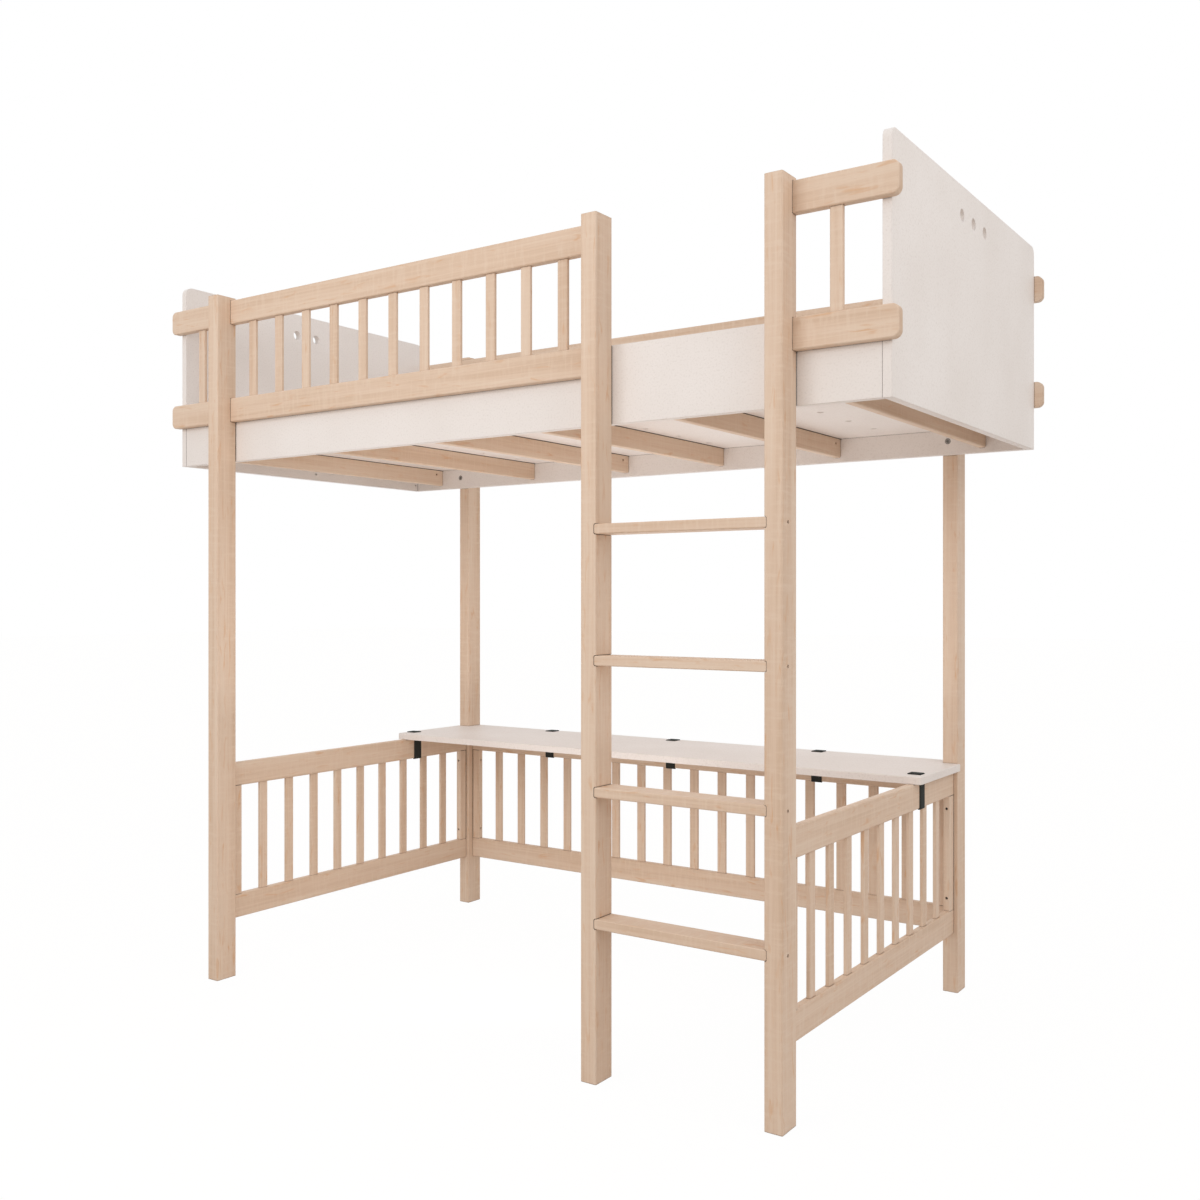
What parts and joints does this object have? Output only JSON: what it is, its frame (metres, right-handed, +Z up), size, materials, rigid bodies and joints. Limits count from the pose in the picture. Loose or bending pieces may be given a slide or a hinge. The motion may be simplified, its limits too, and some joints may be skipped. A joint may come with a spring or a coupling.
{
  "type": "loft bed",
  "caption": "Free-standing timber loft bed: white mattress box on tall posts, slatted guard rails, a fixed ladder, and slatted fences below that carry a shelf.",
  "frame": {"origin": "middle of the footprint on the floor", "axes": "+Z up, +X along the bed towards the ladder end, -Y towards the ladder side"},
  "size_m": [2.084, 1.062, 1.86],
  "materials": {
    "timber": "clear satin lacquer on pale timber",
    "white_board": "warm white satin coated board",
    "base_board": "off-white satin coated board",
    "dowel_wood": "plain turned dowel",
    "black_steel": "black powder coat",
    "zinc_steel": "dull zinc"
  },
  "bodies": {
    "root": {"base_board_1": "base_board", "base_board_2": "base_board", "base_board_3": "base_board", "batten_1": "timber", "batten_2": "timber", "batten_3": "timber", "batten_4": "timber", "batten_5": "timber", "batten_6": "timber", "batten_dowels": "dowel_wood", "corner_dowels": "dowel_wood", "end_panel_left": "white_board", "end_panel_right": "white_board", "fence_left_bottom_rail": "timber", "fence_left_slats": "timber", "fence_left_stiles": "timber", "fence_left_top_rail": "timber", "fence_rear_bottom_rail": "timber", "fence_rear_slats": "timber", "fence_rear_stiles": "timber", "fence_rear_top_rail": "timber", "fence_right_bottom_rail": "timber", "fence_right_slats": "timber", "fence_right_stiles": "timber", "fence_right_top_rail": "timber", "fence_screws": "zinc_steel", "guard_front_left_lower_rail": "timber", "guard_front_left_slats": "timber", "guard_front_left_upper_rail": "timber", "guard_front_right_lower_rail": "timber", "guard_front_right_slats": "timber", "guard_front_right_upper_rail": "timber", "guard_rear_lower_rail": "timber", "guard_rear_slats": "timber", "guard_rear_upper_rail": "timber", "post_bolts": "zinc_steel", "post_front_left": "timber", "post_front_right": "timber", "post_ladder_left": "timber", "post_rear_left": "timber", "post_rear_right": "timber", "rail_dowels": "dowel_wood", "rung_1": "timber", "rung_2": "timber", "rung_3": "timber", "rung_4": "timber", "rung_screws": "zinc_steel", "shelf": "timber", "shelf_hook_left": "black_steel", "shelf_hook_rear_1": "black_steel", "shelf_hook_rear_2": "black_steel", "shelf_hook_rear_3": "black_steel", "shelf_hook_right": "black_steel", "side_panel_front": "white_board", "side_panel_rear": "white_board"}
  },
  "joints": []
}
